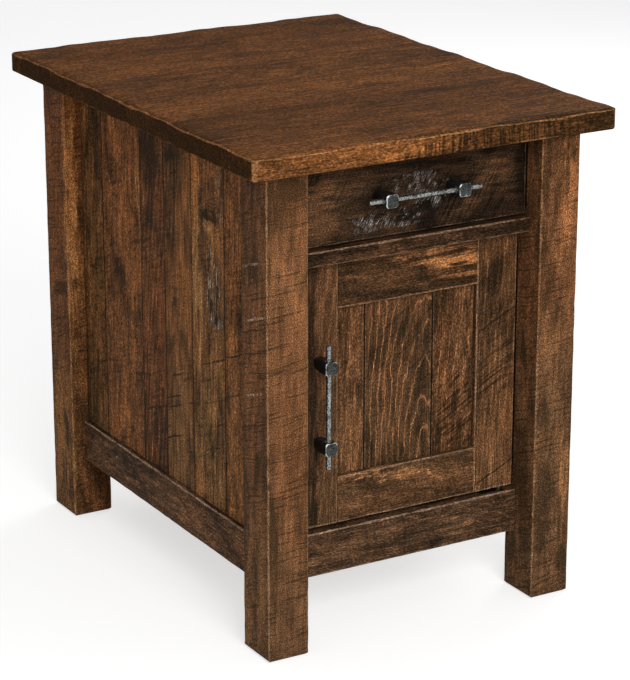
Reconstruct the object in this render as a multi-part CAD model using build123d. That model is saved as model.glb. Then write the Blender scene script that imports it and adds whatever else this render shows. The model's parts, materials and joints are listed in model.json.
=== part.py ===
from build123d import *
import math
import os

# Rustic side table: a drawer over a panelled door, between four square legs.
# Millimetres, +Z up, front towards -Y, origin on the floor under the middle of the top.

# Overall size
table_width = 500.0
table_depth = 660.0
table_height = 635.0
top_thickness = 26.5
side_overhang = 31.5
end_overhang = 28.5

# Hewn upper edge of the top: a chamfer whose depth and reach wander along the edge
scallop_wave = 165.0
scallop_step = 11.0
scallop_drop_min = 0.6
scallop_drop_max = 3.6
scallop_reach_min = 4.0
scallop_reach_max = 12.0
scallop_reach_lag = 33.0
scallop_long_share = 0.3
scallop_short_share = 0.2
scallop_short_ratio = 2.5
scallop_first_phase = 1.76
scallop_phase_step = 1.9
top_corner_cut = 4.0
top_lower_ease = 1.5

# Legs
leg_width = 56.0
leg_depth = 62.0
leg_chamfer = 1.8
foot_ease = 3.0

# Rails and their tenons
rail_floor_gap = 80.0
rail_height = 56.5
rail_thickness = 22.0
front_rail_recess = 40.0
side_rail_recess = 18.0
rail_ease = 1.5
tenon_length = 16.0
tenon_thickness = 10.0
tenon_shoulder = 6.0
top_rail_height = 40.0
top_rail_thickness = 18.0
front_top_rail_depth = 60.0

# Drawer divider
drawer_opening = 110.5
divider_thickness = 19.0
divider_recess = 24.0
divider_depth = 70.0

# Planked sides and back
plank_recess = 24.0
plank_thickness = 16.0
plank_widths = (85.0, 84.0, 73.0, 65.0, 109.0, 63.0)
plank_ease = 0.6
tongue_length = 7.0
tongue_thickness = 5.0
tongue_end_gap = 0.6
back_panel_thickness = 12.0

# Cabinet floor and shelf
floor_thickness = 16.0
shelf_thickness = 18.0
shelf_height = 300.0
shelf_side_gap = 2.0
shelf_front_setback = 30.0
shelf_back_gap = 6.0
shelf_ease = 1.5
clip_leg = 14.0
clip_width = 16.0
clip_thickness = 1.6
clip_inset = 60.0

# Drawer front and dovetailed box
drawer_recess = 31.0
drawer_front_thickness = 20.0
drawer_side_gap = 1.8
drawer_top_gap = 2.5
drawer_bottom_gap = 3.0
drawer_ease = 1.6
box_back_gap = 48.0
box_height = 76.0
box_lift = 12.0
box_wall = 14.0
box_bottom_thickness = 6.0
box_bottom_rise = 10.0
box_groove = 6.0
tail_count = 3
tail_share = 0.56
tail_slope = 1.0 / 6.0

# Telescopic drawer slides
slide_space = 12.7
slide_height = 45.0
slide_sheet = 1.3
slide_clearance = 0.35
slide_end_gap = 2.0
slide_rise = 30.0
support_margin = 4.0

# Door frame and planked panel
door_recess = 46.0
door_thickness = 20.0
door_side_gap = 2.0
door_top_gap = 2.5
door_bottom_gap = 5.5
pull_stile_width = 65.0
hinge_stile_width = 58.0
door_rail_width = 60.0
door_ease = 1.0
panel_recess = 8.0
panel_thickness = 9.0
panel_groove = 10.0
panel_edge_gap = 1.5
panel_plank_widths = (50.0, 97.0, 68.0)
panel_tongue_length = 5.0
panel_tongue_thickness = 3.0
panel_v_cut = 1.3

# Knife hinges at the top and bottom of the door
hinge_inset = 16.0
hinge_setback = 7.0
hinge_leaf_width = 12.0
hinge_leaf_thickness = 2.4
hinge_leaf_margin = 2.0
hinge_pin_radius = 2.5
hinge_pin_clearance = 0.05
hinge_boss_radius = 5.0
hinge_boss_gap = 0.1

# Magnetic catch
catch_width = 46.0
catch_depth = 16.0
catch_height = 13.0
catch_from_pull_edge = 52.0
catch_ease = 1.5
strike_thickness = 1.2
strike_width = 34.0
strike_height = 11.0
strike_drop = 2.0
strike_gap = 0.2

# Forged bar pulls
pull_centres = 101.6
pull_length = 157.0
pull_bar_radius = 3.3
pull_bar_offset = 26.0
pull_bar_tip = 0.8
pull_bore_clearance = 0.05
pull_projection = 34.0
pull_head_size = 17.0
pull_head_depth = 16.0
pull_head_corner = 4.0
pull_head_ease = 1.6
pull_foot_size = 11.5
pull_foot_corner = 1.5
door_pull_from_edge = 36.5
door_pull_height = 304.0

# Planes that the pieces share
leg_height = table_height - top_thickness
outer_x = table_width / 2 - side_overhang
outer_y = table_depth / 2 - end_overhang
inner_x = outer_x - leg_width
inner_y = outer_y - leg_depth
rail_top = rail_floor_gap + rail_height
plank_outer = outer_x - plank_recess
plank_inner = plank_outer - plank_thickness
divider_top = leg_height - drawer_opening
divider_bottom = divider_top - divider_thickness

front_rail_front = -outer_y + front_rail_recess
front_rail_back = front_rail_front + rail_thickness
back_rail_back = outer_y - side_rail_recess
back_rail_front = back_rail_back - rail_thickness
back_panel_back = outer_y - plank_recess
back_panel_front = back_panel_back - back_panel_thickness
back_top_rail_front = back_panel_front - top_rail_thickness

drawer_front_y = -outer_y + drawer_recess
box_front_y = drawer_front_y + drawer_front_thickness
box_back_y = back_top_rail_front - box_back_gap
box_x = inner_x - slide_space
box_z = divider_top + box_lift
slide_z = box_z + slide_rise
slide_y = box_front_y + slide_end_gap
slide_back_y = box_back_y - slide_end_gap

door_front_y = -outer_y + door_recess
door_back_y = door_front_y + door_thickness
door_x = inner_x - door_side_gap
door_z = rail_top + door_bottom_gap
door_top_z = divider_bottom - door_top_gap
pull_stile_inner = -door_x + pull_stile_width
hinge_stile_inner = door_x - hinge_stile_width
panel_front_y = door_front_y + panel_recess
panel_back_y = panel_front_y + panel_thickness

hinge_x = door_x - hinge_inset
hinge_y = door_front_y + hinge_setback
hinge_leaf_reach = hinge_stile_width - panel_groove - hinge_inset - hinge_leaf_margin


# Shared shapes
def slab(x0, x1, y0, y1, z0, z1):
    """A squared board between two corners."""
    middle = Pos((x0 + x1) / 2, (y0 + y1) / 2, (z0 + z1) / 2)
    return middle * Box(x1 - x0, y1 - y0, z1 - z0)


def ease(board, axis, amount):
    """The board with its arrises along one axis chamfered."""
    return chamfer(board.edges().filter_by(axis), amount)


def ease_face(board, axis, side, amount):
    """The board with the arrises round one of its faces chamfered."""
    faces = board.faces().sort_by(axis)
    return chamfer(faces[side].edges(), amount)


def mirrored(solid):
    """The same piece on the other side of the table."""
    return mirror(solid, about=Plane.YZ)


def rod(radius, x, y, z0, z1):
    """An upright round bar."""
    return Pos(x, y, (z0 + z1) / 2) * Cylinder(radius, z1 - z0)


# Tabletop
def scallop(along, phase):
    """Share of the full hewn depth at one place along an edge."""
    angle = 2 * math.pi * along / scallop_wave + phase
    long_wave = math.sin(angle)
    short_wave = math.sin(scallop_short_ratio * angle)
    return 0.5 + scallop_long_share * long_wave + scallop_short_share * short_wave


def hewn_edge(length, half_span, phase):
    """What the drawknife takes off the upper front arris of a board of this length."""
    overrun = scallop_reach_max
    count = round((length + 2 * overrun) / scallop_step)
    sections = []
    for index in range(count + 1):
        along = -length / 2 - overrun + index * (length + 2 * overrun) / count
        depth = scallop(along, phase)
        width = scallop(along + scallop_reach_lag, phase)
        drop = scallop_drop_min + depth * (scallop_drop_max - scallop_drop_min)
        reach = scallop_reach_min + width * (scallop_reach_max - scallop_reach_min)
        place = Plane((along, -half_span, table_height), x_dir=(0, 1, 0), z_dir=(1, 0, 0))
        outline = Polyline(
            (reach, 0),
            (-overrun, -drop * (reach + overrun) / reach),
            (-overrun, overrun),
            (reach, overrun),
            close=True,
        )
        sections.append(place * make_face(outline))
    return loft(sections, ruled=True)


def make_tabletop():
    """The glued-up top, square below and hewn along its upper edges."""
    half_x = table_width / 2
    half_y = table_depth / 2
    board = slab(-half_x, half_x, -half_y, half_y, leg_height, table_height)
    board = ease(board, Axis.Z, top_corner_cut)
    board = ease_face(board, Axis.Z, 0, top_lower_ease)
    for turn in range(4):
        along_x = turn % 2 == 0
        length = table_width if along_x else table_depth
        half_span = half_y if along_x else half_x
        phase = scallop_first_phase + scallop_phase_step * turn
        board -= Rot(0, 0, 90 * turn) * hewn_edge(length, half_span, phase)
    return board


# Rails with a stub tenon at each end
def rail_along_x(y0, y1, z0, z1):
    """A rail between the legs of the front or the back, and its two tenons."""
    board = ease(slab(-inner_x, inner_x, y0, y1, z0, z1), Axis.X, rail_ease)
    middle = (y0 + y1) / 2
    reach = inner_x + tenon_length
    tenon = slab(
        -reach, reach,
        middle - tenon_thickness / 2, middle + tenon_thickness / 2,
        z0 + tenon_shoulder, z1 - tenon_shoulder,
    )
    return board + tenon


def rail_along_y(x0, x1, z0, z1):
    """A rail between the legs of one side, and its two tenons."""
    board = ease(slab(x0, x1, -inner_y, inner_y, z0, z1), Axis.Y, rail_ease)
    middle = (x0 + x1) / 2
    reach = inner_y + tenon_length
    tenon = slab(
        middle - tenon_thickness / 2, middle + tenon_thickness / 2,
        -reach, reach,
        z0 + tenon_shoulder, z1 - tenon_shoulder,
    )
    return board + tenon


def make_divider():
    """The rail between drawer and door, tenoned flat into the front legs."""
    front = -outer_y + divider_recess
    back = front + divider_depth
    board = slab(-inner_x, inner_x, front, back, divider_bottom, divider_top)
    board = ease(board, Axis.X, rail_ease)
    middle = (divider_bottom + divider_top) / 2
    reach = inner_x + tenon_length
    tenon = slab(
        -reach, reach,
        front + tenon_shoulder, -inner_y - tenon_shoulder,
        middle - tenon_thickness / 2, middle + tenon_thickness / 2,
    )
    return board + tenon


def make_bottom_rails():
    """The four low rails by name."""
    left_x = -outer_x + side_rail_recess
    left = rail_along_y(left_x, left_x + rail_thickness, rail_floor_gap, rail_top)
    return {
        "front_bottom_rail": rail_along_x(front_rail_front, front_rail_back, rail_floor_gap, rail_top),
        "back_bottom_rail": rail_along_x(back_rail_front, back_rail_back, rail_floor_gap, rail_top),
        "left_bottom_rail": left,
        "right_bottom_rail": mirrored(left),
    }


def make_top_rails():
    """The hidden rails under the top that tie the legs and hold the top down."""
    low = leg_height - top_rail_height
    front_y = box_front_y + slide_end_gap
    front_low = box_z + box_height + drawer_bottom_gap
    right = slab(inner_x, plank_inner, -inner_y, inner_y, low, leg_height)
    return {
        "front_top_rail": slab(
            -inner_x, inner_x, front_y, front_y + front_top_rail_depth, front_low, leg_height
        ),
        "back_top_rail": rail_along_x(back_top_rail_front, back_panel_front, low, leg_height),
        "left_top_rail": mirrored(right),
        "right_top_rail": right,
    }


# Legs
def make_leg(side_x, side_y, joined_rails):
    """A square leg with its mortises cut by the rails that it takes."""
    x0, x1 = sorted((side_x * inner_x, side_x * outer_x))
    y0, y1 = sorted((side_y * inner_y, side_y * outer_y))
    leg = slab(x0, x1, y0, y1, 0, leg_height)
    leg = ease_face(leg, Axis.Z, 0, foot_ease)
    leg = ease(leg, Axis.Z, leg_chamfer)
    for rail in joined_rails:
        leg -= rail
    return leg


# Planked sides and the back
def edge_shares(widths, start, end):
    """Joint places from start to end, in the proportions of the widths."""
    places = [start]
    for width in widths:
        places.append(places[-1] + width * (end - start) / sum(widths))
    return places


def make_side_planks():
    """Tongued and grooved planks of the left side, from front to back."""
    joints = edge_shares(plank_widths, -inner_y, inner_y)
    middle = -(plank_outer + plank_inner) / 2
    last = len(plank_widths) - 1
    planks = []
    for index in range(last + 1):
        y0 = joints[index]
        y1 = joints[index + 1]
        plank = slab(-plank_outer, -plank_inner, y0, y1, rail_top, leg_height)
        plank = ease(plank, Axis.Z, plank_ease)
        half = tongue_thickness / 2
        if index > 0:
            deep = y0 + tongue_length + tongue_end_gap
            plank -= slab(middle - half, middle + half, y0, deep, rail_top, leg_height)
        if index < last:
            plank += slab(middle - half, middle + half, y1, y1 + tongue_length, rail_top, leg_height)
        planks.append(plank)
    return planks


def make_back_panel():
    """The flat back, standing on the low back rail behind the upper one."""
    return slab(-inner_x, inner_x, back_panel_front, back_panel_back, rail_top, leg_height)


# Inside of the cabinet
def make_cabinet_floor():
    """The floor of the cupboard, notched round the back legs."""
    board = slab(
        -plank_inner, plank_inner, front_rail_back, back_rail_front,
        rail_top - floor_thickness, rail_top,
    )
    for side in (-1, 1):
        x0, x1 = sorted((side * inner_x, side * outer_x))
        board -= slab(x0, x1, inner_y, outer_y, 0, leg_height)
        board -= slab(x0, x1, -outer_y, -inner_y, 0, leg_height)
    return board


shelf_x = plank_inner - shelf_side_gap
shelf_front_y = door_back_y + shelf_front_setback
shelf_back_y = inner_y - shelf_back_gap


def make_shelf():
    """The loose shelf behind the door."""
    board = slab(
        -shelf_x, shelf_x, shelf_front_y, shelf_back_y,
        shelf_height, shelf_height + shelf_thickness,
    )
    return ease(board, Axis.X, shelf_ease)


def make_shelf_clips():
    """Four steel angles on the planks, under the shelf."""
    clips = []
    for y in (shelf_front_y + clip_inset, shelf_back_y - clip_inset):
        y0 = y - clip_width / 2
        y1 = y + clip_width / 2
        x0 = plank_inner - clip_leg
        angle = slab(x0, plank_inner, y0, y1, shelf_height - clip_leg, shelf_height)
        hollow = slab(
            x0, plank_inner - clip_thickness, y0, y1,
            shelf_height - clip_leg, shelf_height - clip_thickness,
        )
        clips += [angle - hollow, mirrored(angle - hollow)]
    return Compound(clips)


# Drawer slides
def make_slide_support():
    """The packing rail of the right side that carries a slide, under the top rail."""
    low = slide_z - slide_height / 2 - support_margin
    high = leg_height - top_rail_height
    return slab(inner_x, plank_inner, -inner_y, inner_y, low, high)


def channel(wall_x, lip_x, half_height):
    """A folded steel channel along the right slide, open away from its wall."""
    x0, x1 = sorted((wall_x, lip_x))
    low = slide_z - half_height
    high = slide_z + half_height
    folded = slab(x0, x1, slide_y, slide_back_y, low, high)
    web = slide_sheet if wall_x < lip_x else -slide_sheet
    inside0, inside1 = sorted((wall_x + web, lip_x))
    folded -= slab(inside0, inside1, slide_y, slide_back_y, low + slide_sheet, high - slide_sheet)
    return folded


def make_slides():
    """Case, middle and drawer members of the right slide, nested in each other."""
    nest = slide_sheet + slide_clearance
    case_x = inner_x
    middle_x = case_x - nest
    drawer_lip_x = middle_x - nest
    case_lip_x = box_x + 2 * nest
    middle_lip_x = box_x + nest
    half = slide_height / 2
    return {
        "case": channel(case_x, case_lip_x, half),
        "middle": channel(middle_x, middle_lip_x, half - nest),
        "drawer": channel(box_x, drawer_lip_x, half - 2 * nest),
    }


# Drawer
def make_drawer_front():
    """The solid front that fills the opening between the legs."""
    half = inner_x - drawer_side_gap
    board = slab(
        -half, half, drawer_front_y, box_front_y,
        divider_top + drawer_bottom_gap, leg_height - drawer_top_gap,
    )
    return ease_face(board, Axis.Y, 0, drawer_ease)


def make_tails():
    """Dovetails of the right box side, at its front and its back."""
    pitch = box_height / tail_count
    root = pitch * tail_share / 2
    tip = root + box_wall * tail_slope
    ends = (
        (box_front_y + box_wall, box_front_y),
        (box_back_y - box_wall, box_back_y),
    )
    tails = []
    for root_y, tip_y in ends:
        for index in range(tail_count):
            z = box_z + pitch * (index + 0.5)
            outline = Polyline(
                (root_y, z - root), (tip_y, z - tip), (tip_y, z + tip), (root_y, z + root), close=True
            )
            tail = extrude(Plane.YZ * make_face(outline), amount=box_wall)
            tails.append(Pos(box_x - box_wall, 0, 0) * tail)
    return tails


def make_drawer_box():
    """Sides, ends and bottom of the box, by name."""
    top = box_z + box_height
    inside_front = box_front_y + box_wall
    inside_back = box_back_y - box_wall
    inside_x = box_x - box_wall
    bottom = slab(
        -inside_x - box_groove, inside_x + box_groove,
        inside_front - box_groove, inside_back + box_groove,
        box_z + box_bottom_rise, box_z + box_bottom_rise + box_bottom_thickness,
    )
    right = slab(inside_x, box_x, inside_front, inside_back, box_z, top)
    front = slab(-box_x, box_x, box_front_y, inside_front, box_z, top)
    back = slab(-box_x, box_x, inside_back, box_back_y, box_z, top)
    for tail in make_tails():
        right += tail
        front = front - tail - mirrored(tail)
        back = back - tail - mirrored(tail)
    right -= bottom
    return {
        "drawer_side_right": right,
        "drawer_side_left": mirrored(right),
        "drawer_box_front": front - bottom,
        "drawer_box_back": back - bottom,
        "drawer_bottom": bottom,
    }


# Door
def make_door_frame():
    """Stiles and rails by name, grooved for the panel and for the rails' tongues."""
    panel_low = door_z + door_rail_width
    panel_high = door_top_z - door_rail_width
    pull_stile = slab(-door_x, pull_stile_inner, door_front_y, door_back_y, door_z, door_top_z)
    hinge_stile = slab(hinge_stile_inner, door_x, door_front_y, door_back_y, door_z, door_top_z)
    top = slab(
        pull_stile_inner, hinge_stile_inner, door_front_y, door_back_y, panel_high, door_top_z
    )
    bottom = slab(
        pull_stile_inner, hinge_stile_inner, door_front_y, door_back_y, door_z, panel_low
    )
    groove = slab(
        pull_stile_inner - panel_groove, hinge_stile_inner + panel_groove,
        panel_front_y, panel_back_y, door_z, door_top_z,
    )
    recess = slab(
        pull_stile_inner - panel_groove, hinge_stile_inner + panel_groove,
        panel_front_y, panel_back_y, panel_low - panel_groove, panel_high + panel_groove,
    )
    tongue_top = groove - slab(
        -door_x, door_x, door_front_y, door_back_y, door_z, panel_high + panel_groove
    )
    tongue_bottom = groove - slab(
        -door_x, door_x, door_front_y, door_back_y, panel_low - panel_groove, door_top_z
    )
    return {
        "door_pull_stile": ease(pull_stile, Axis.Z, door_ease) - groove,
        "door_hinge_stile": ease(hinge_stile, Axis.Z, door_ease) - groove,
        "door_top_rail": top - recess + tongue_top,
        "door_bottom_rail": bottom - recess + tongue_bottom,
    }


def make_panel_planks():
    """Three upright planks of the door panel, tongued together behind a V joint."""
    reach = panel_groove - panel_edge_gap
    start = pull_stile_inner - reach
    end = hinge_stile_inner + reach
    low = door_z + door_rail_width - reach
    high = door_top_z - door_rail_width + reach
    joints = edge_shares(panel_plank_widths, start, end)
    middle = (panel_front_y + panel_back_y) / 2
    half = panel_tongue_thickness / 2
    last = len(panel_plank_widths) - 1
    planks = []
    for index in range(last + 1):
        x0 = joints[index]
        x1 = joints[index + 1]
        plank = slab(x0, x1, panel_front_y, panel_back_y, low, high)
        front_arrises = plank.edges().filter_by(Axis.Z).sort_by(Axis.Y)[:2]
        plank = chamfer(front_arrises, panel_v_cut)
        if index > 0:
            deep = x0 + panel_tongue_length + tongue_end_gap
            plank -= slab(x0, deep, middle - half, middle + half, low, high)
        if index < last:
            plank += slab(x1, x1 + panel_tongue_length, middle - half, middle + half, low, high)
        planks.append(plank)
    return planks


# Knife hinges
def hinge_leaf(z):
    """A leaf lying flat on level z, round at its pivot end."""
    half = hinge_leaf_width / 2
    strip = slab(
        hinge_x - hinge_leaf_reach, hinge_x, hinge_y - half, hinge_y + half,
        z, z + hinge_leaf_thickness,
    )
    return strip + rod(half, hinge_x, hinge_y, z, z + hinge_leaf_thickness)


def make_hinges():
    """Blanks for the four leaves, the two case leaves with pins, and the two door leaves."""
    upper_case = hinge_leaf(divider_bottom)
    lower_case = hinge_leaf(rail_top - hinge_leaf_thickness)
    upper_door = hinge_leaf(door_top_z - hinge_leaf_thickness)
    lower_door = hinge_leaf(door_z)
    upper_pin = rod(
        hinge_pin_radius, hinge_x, hinge_y, door_top_z - hinge_leaf_thickness, divider_bottom
    )
    lower_pin = rod(hinge_pin_radius, hinge_x, hinge_y, rail_top, door_z + hinge_leaf_thickness)
    upper_boss = rod(hinge_boss_radius, hinge_x, hinge_y, door_top_z + hinge_boss_gap, divider_bottom)
    lower_boss = rod(hinge_boss_radius, hinge_x, hinge_y, rail_top, door_z - hinge_boss_gap)
    bore = rod(hinge_pin_radius + hinge_pin_clearance, hinge_x, hinge_y, door_z, door_top_z)
    return {
        "upper_case_blank": upper_case,
        "lower_case_blank": lower_case,
        "upper_door_blank": upper_door,
        "lower_door_blank": lower_door,
        "upper_case": upper_case + upper_pin + upper_boss,
        "lower_case": lower_case + lower_pin + lower_boss,
        "upper_door": upper_door - bore,
        "lower_door": lower_door - bore,
    }


# Magnetic catch
catch_x = -door_x + catch_from_pull_edge


def make_catch():
    """The magnet housing under the divider, behind the door."""
    front = door_back_y + strike_thickness + strike_gap
    housing = slab(
        catch_x - catch_width / 2, catch_x + catch_width / 2, front, front + catch_depth,
        divider_bottom - catch_height, divider_bottom,
    )
    return ease_face(housing, Axis.Z, 0, catch_ease)


def make_strike():
    """The steel plate on the back of the door that the magnet holds."""
    high = door_top_z - strike_drop
    return slab(
        catch_x - strike_width / 2, catch_x + strike_width / 2,
        door_back_y, door_back_y + strike_thickness, high - strike_height, high,
    )


# Pulls
def pull_section(size, corner, distance):
    """A round-cornered square across a post, at a distance from the wood."""
    place = Plane((0, -distance, 0), x_dir=(1, 0, 0), z_dir=(0, -1, 0))
    return place * RectangleRounded(size, size, corner)


def make_pull():
    """Two forged posts and the bar through their heads, lying along X in front of the XZ plane."""
    head_back = pull_projection - pull_head_depth
    stalk = loft([
        pull_section(pull_foot_size, pull_foot_corner, 0),
        pull_section(pull_head_size, pull_head_corner, head_back),
    ])
    head = extrude(pull_section(pull_head_size, pull_head_corner, head_back), amount=pull_head_depth)
    head = fillet(head.faces().sort_by(Axis.Y)[0].edges(), pull_head_ease)
    bar_line = Pos(0, -pull_bar_offset, 0) * Rot(0, 90, 0)
    bar = bar_line * Cylinder(pull_bar_radius, pull_length)
    bar = chamfer(bar.edges().filter_by(GeomType.CIRCLE), pull_bar_tip)
    bore = bar_line * Cylinder(pull_bar_radius + pull_bore_clearance, pull_length)
    post = stalk + head - bore
    posts = [Pos(side * pull_centres / 2, 0, 0) * post for side in (-1, 1)]
    return bar, Compound(posts)


# The whole table
nodes = {"tabletop": make_tabletop()}
rails = make_bottom_rails()
rails.update(make_top_rails())
rails["drawer_divider_rail"] = make_divider()
nodes["leg_front_left"] = make_leg(
    -1, -1, [rails[name] for name in ("front_bottom_rail", "left_bottom_rail", "drawer_divider_rail")]
)
nodes["leg_front_right"] = make_leg(
    1, -1, [rails[name] for name in ("front_bottom_rail", "right_bottom_rail", "drawer_divider_rail")]
)
nodes["leg_back_left"] = make_leg(
    -1, 1, [rails[name] for name in ("back_bottom_rail", "left_bottom_rail", "back_top_rail")]
)
nodes["leg_back_right"] = make_leg(
    1, 1, [rails[name] for name in ("back_bottom_rail", "right_bottom_rail", "back_top_rail")]
)

hinges = make_hinges()
rails["drawer_divider_rail"] -= hinges["upper_case_blank"]
rails["front_bottom_rail"] -= hinges["lower_case_blank"]
nodes.update(rails)

for number, plank in enumerate(make_side_planks(), 1):
    nodes[f"left_side_plank_{number}"] = plank
    nodes[f"right_side_plank_{number}"] = mirrored(plank)
nodes["back_panel"] = make_back_panel()
nodes["cabinet_floor"] = make_cabinet_floor()
nodes["shelf"] = make_shelf()
nodes["shelf_clips"] = make_shelf_clips()

nodes["slide_support_right"] = make_slide_support()
nodes["slide_support_left"] = mirrored(nodes["slide_support_right"])
for member, solid in make_slides().items():
    nodes[f"slide_{member}_member_right"] = solid
    nodes[f"slide_{member}_member_left"] = mirrored(solid)

nodes["drawer_front"] = make_drawer_front()
nodes.update(make_drawer_box())

door_frame = make_door_frame()
door_frame["door_hinge_stile"] -= hinges["upper_door_blank"]
door_frame["door_hinge_stile"] -= hinges["lower_door_blank"]
nodes.update(door_frame)
for number, plank in enumerate(make_panel_planks(), 1):
    nodes[f"door_panel_plank_{number}"] = plank

nodes["hinge_case_leaves"] = Compound([hinges["upper_case"], hinges["lower_case"]])
nodes["hinge_door_leaves"] = Compound([hinges["upper_door"], hinges["lower_door"]])
nodes["door_catch"] = make_catch()
nodes["catch_strike"] = make_strike()

pull_bar, pull_posts = make_pull()
drawer_pull_z = (divider_top + drawer_bottom_gap + leg_height - drawer_top_gap) / 2
on_drawer = Pos(0, drawer_front_y, drawer_pull_z)
on_door = Pos(-door_x + door_pull_from_edge, door_front_y, door_pull_height) * Rot(0, 90, 0)
nodes["drawer_pull_bar"] = on_drawer * pull_bar
nodes["drawer_pull_posts"] = on_drawer * pull_posts
nodes["door_pull_bar"] = on_door * pull_bar
nodes["door_pull_posts"] = on_door * pull_posts

os.makedirs("parts", exist_ok=True)
for name, solid in nodes.items():
    export_step(solid, f"parts/{name}.step")
print(len(nodes), "nodes")
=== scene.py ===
import json
import math

import bmesh
import bpy
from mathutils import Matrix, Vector, kdtree, noise


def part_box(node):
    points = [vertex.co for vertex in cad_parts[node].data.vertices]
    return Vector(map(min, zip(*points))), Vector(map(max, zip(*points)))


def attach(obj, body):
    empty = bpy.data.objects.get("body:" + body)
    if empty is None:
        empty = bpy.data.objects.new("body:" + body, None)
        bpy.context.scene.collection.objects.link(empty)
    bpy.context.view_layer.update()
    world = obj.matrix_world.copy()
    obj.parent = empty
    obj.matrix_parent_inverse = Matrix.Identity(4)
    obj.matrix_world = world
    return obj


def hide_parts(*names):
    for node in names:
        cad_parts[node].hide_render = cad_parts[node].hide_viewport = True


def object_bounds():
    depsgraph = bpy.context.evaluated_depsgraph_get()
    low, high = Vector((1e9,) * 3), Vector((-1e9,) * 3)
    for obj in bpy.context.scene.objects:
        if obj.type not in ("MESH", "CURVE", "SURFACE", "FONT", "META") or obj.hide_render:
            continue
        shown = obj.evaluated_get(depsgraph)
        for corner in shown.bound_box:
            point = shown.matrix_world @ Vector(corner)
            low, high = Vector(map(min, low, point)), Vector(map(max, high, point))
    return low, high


# Looks of a rustic side table: rough-sawn stained wood, hewn top edge, hammered iron pulls.
# Metres, in the frame of the solids: front towards -Y, +Z up, origin on the floor.

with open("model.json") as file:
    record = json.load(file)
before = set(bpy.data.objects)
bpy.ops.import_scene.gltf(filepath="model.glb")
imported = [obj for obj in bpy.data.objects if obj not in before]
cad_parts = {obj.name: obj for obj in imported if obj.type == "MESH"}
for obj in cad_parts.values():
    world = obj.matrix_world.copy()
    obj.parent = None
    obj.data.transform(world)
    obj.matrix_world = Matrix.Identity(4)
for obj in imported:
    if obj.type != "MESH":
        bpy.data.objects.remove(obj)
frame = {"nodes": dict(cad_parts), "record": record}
nodes = frame["nodes"]
cad_low, cad_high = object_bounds()
body_of_node = {}
for body, members in frame["record"]["behaviour"]["bodies"].items():
    for member in members:
        body_of_node[member] = body

MM = 0.001
WHITE = (1.0, 1.0, 1.0, 1.0)


# Colours
def srgb(red, green, blue):
    """A linear colour from 8-bit sRGB values."""
    linear = []
    for value in (red, green, blue):
        share = value / 255
        if share <= 0.04045:
            linear.append(share / 12.92)
        else:
            linear.append(((share + 0.055) / 1.055) ** 2.4)
    return (*linear, 1.0)


# Node trees
class Tree:
    """Short calls for building the node tree of a material or a world."""

    def __init__(self, owner):
        owner.use_nodes = True
        self.tree = owner.node_tree

    def add(self, kind, **settings):
        node = self.tree.nodes.new("ShaderNode" + kind)
        for key, value in settings.items():
            setattr(node, key, value)
        return node

    def feed(self, socket, value):
        """Link a socket to another one, or set it to a plain value."""
        if isinstance(value, bpy.types.NodeSocket):
            self.tree.links.new(value, socket)
        else:
            socket.default_value = value

    def fed(self, node, *values):
        """The outputs of a node whose first inputs take these values."""
        for socket, value in zip(node.inputs, values):
            self.feed(socket, value)
        return node.outputs

    def fill(self, node, **inputs):
        """The outputs of a node whose named inputs take these values."""
        for key, value in inputs.items():
            self.feed(node.inputs[key], value)
        return node.outputs

    def math(self, operation, *values):
        return self.fed(self.add("Math", operation=operation), *values)[0]

    def vector(self, operation, *values):
        outputs = self.fed(self.add("VectorMath", operation=operation), *values)
        return outputs["Value" if operation in ("LENGTH", "DOT_PRODUCT") else "Vector"]

    def scaled(self, vector, factor):
        node = self.add("VectorMath", operation="SCALE")
        return self.fill(node, Vector=vector, Scale=factor)["Vector"]

    def combine(self, x, y, z):
        return self.fed(self.add("CombineXYZ"), x, y, z)[0]

    def separate(self, vector):
        return self.fed(self.add("SeparateXYZ"), vector)

    def noise(self, vector, detail, roughness=0.5, distortion=0.0):
        settings = {"Detail": detail, "Roughness": roughness, "Distortion": distortion}
        return self.fill(self.add("TexNoise"), Vector=vector, Scale=1.0, **settings)["Fac"]

    def cells(self, vector):
        return self.fill(self.add("TexVoronoi"), Vector=vector, Scale=1.0)["Distance"]

    def rise(self, value, low, high):
        """0 below low, 1 above high, smooth between them."""
        node = self.add("MapRange", interpolation_type="SMOOTHSTEP")
        return self.fed(node, value, low, high, 0.0, 1.0)[0]

    def fall(self, value, low, high):
        """1 below low, 0 above high, smooth between them."""
        return self.math("SUBTRACT", 1.0, self.rise(value, low, high))

    def swing(self, value, amount):
        """A 0 to 1 value turned into a swing about zero."""
        return self.math("MULTIPLY", self.math("SUBTRACT", value, 0.5), amount)

    def total(self, first, *others):
        for other in others:
            first = self.math("ADD", first, other)
        return first

    def times(self, first, *others):
        for other in others:
            first = self.math("MULTIPLY", first, other)
        return first

    def mix(self, share, first, second):
        """A colour between two, by the colour sockets of a Mix node."""
        node = self.add("Mix", data_type="RGBA")
        self.feed(node.inputs[0], share)
        self.feed(node.inputs[6], first)
        self.feed(node.inputs[7], second)
        return node.outputs[2]

    def ramp(self, share, stops):
        node = self.add("ValToRGB")
        elements = node.color_ramp.elements
        while len(elements) < len(stops):
            elements.new(1.0)
        for element, (place, color) in zip(elements, stops):
            element.position = place
            element.color = color
        return self.fed(node, share)[0]

    def mottled(self, dark, light, *swings):
        """A colour between dark and light, moved from their middle by swings."""
        return self.ramp(self.total(*swings, 0.5), ((0.2, dark), (0.8, light)))

    def bump(self, height, distance, strength):
        node = self.add("Bump")
        return self.fill(node, Height=height, Distance=distance, Strength=strength)["Normal"]

    def seen(self):
        """1 for rays from the camera, in reflections and through glass, 0 for the rest."""
        path = self.add("LightPath").outputs
        shown = self.math("MAXIMUM", path["Is Camera Ray"], path["Is Glossy Ray"])
        return self.math("MAXIMUM", shown, path["Is Transmission Ray"])


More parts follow.
